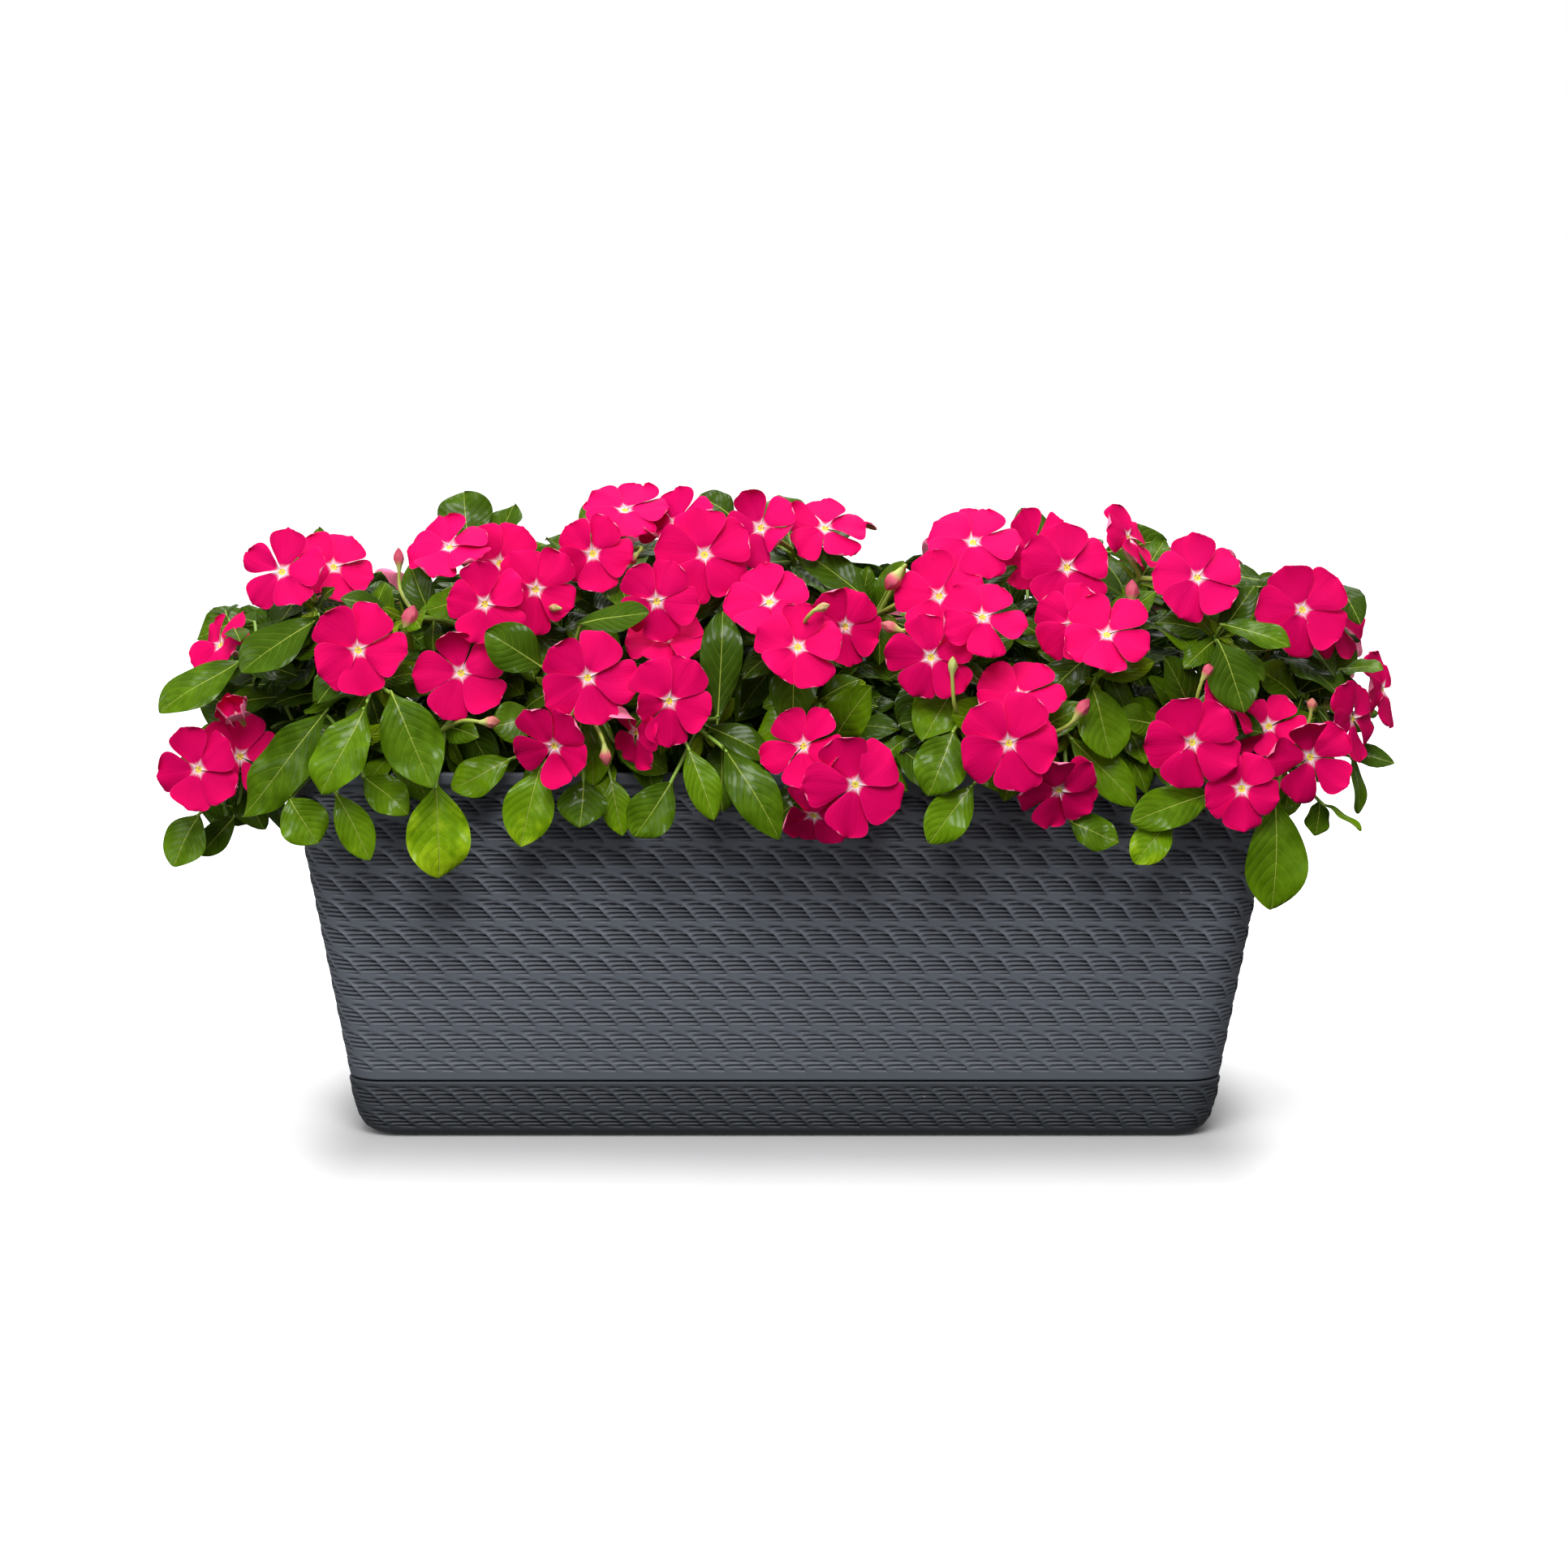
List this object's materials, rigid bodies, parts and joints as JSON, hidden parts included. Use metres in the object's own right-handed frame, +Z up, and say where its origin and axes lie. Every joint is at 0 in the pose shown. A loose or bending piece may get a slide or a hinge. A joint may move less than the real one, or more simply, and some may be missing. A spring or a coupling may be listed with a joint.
{
  "type": "potted madagascar periwinkle",
  "caption": "Long tapered balcony planter with a rope-pattern wall and a drip tray, planted with bushy periwinkle in full bloom, with flat five-petalled flowers over glossy leaves.",
  "frame": {"origin": "centre of the drip tray's underside", "axes": "+X along the planter's length, to the right of a viewer in front; the front faces -Y; +Z up"},
  "size_m": [0.7462, 0.3448, 0.3975],
  "materials": {
    "moulded_slate_plastic": "matte slate-grey moulded plastic with a rope relief",
    "potting_mix": "dark peaty crumbs with white specks",
    "leaf_and_stem": "glossy green leaf with a pale midrib",
    "petal": "velvety crimson-pink petal with a white star at its throat"
  },
  "bodies": {
    "root": {"rope_box": "moulded_slate_plastic", "drip_tray": "moulded_slate_plastic", "potting_mix": "potting_mix", "stem_a_back": "leaf_and_stem", "stem_a_crest": "leaf_and_stem", "stem_a_front": "leaf_and_stem", "stem_b_back": "leaf_and_stem", "stem_b_crest": "leaf_and_stem", "stem_b_front": "leaf_and_stem", "stem_b_low": "leaf_and_stem", "stem_c_back": "leaf_and_stem", "stem_c_crest": "leaf_and_stem", "stem_c_front": "leaf_and_stem", "stem_c_low": "leaf_and_stem", "stem_c_rear": "leaf_and_stem", "stem_d_back": "leaf_and_stem", "stem_d_crest": "leaf_and_stem", "stem_d_front": "leaf_and_stem", "stem_e_back": "leaf_and_stem", "stem_e_end": "leaf_and_stem", "stem_e_front": "leaf_and_stem", "stem_e_low": "leaf_and_stem", "blooms_back_a": "petal", "blooms_back_b": "petal", "blooms_back_c": "petal", "blooms_back_d": "petal", "blooms_back_e": "petal", "blooms_back_f": "petal", "blooms_back_g": "petal", "blooms_back_h": "petal", "blooms_back_i": "petal", "blooms_back_j": "petal", "blooms_back_k": "petal", "blooms_back_l": "petal", "blooms_centre_drop": "petal", "blooms_centre_low": "petal", "blooms_centre_stack": "petal", "blooms_centre_top": "petal", "blooms_crest_pair": "petal", "blooms_left_crest": "petal", "blooms_left_end": "petal", "blooms_left_face": "petal", "blooms_left_low": "petal", "blooms_left_mid": "petal", "blooms_left_pair": "petal", "blooms_left_top": "petal", "blooms_middle_face": "petal", "blooms_middle_low": "petal", "blooms_middle_top": "petal", "blooms_right_crest": "petal", "blooms_right_end": "petal", "blooms_right_face": "petal", "blooms_right_fan": "petal", "blooms_right_front": "petal", "blooms_right_low": "petal", "blooms_right_mid": "petal", "blooms_right_side": "petal", "blooms_right_stack": "petal", "blooms_right_top": "petal"}
  },
  "joints": []
}
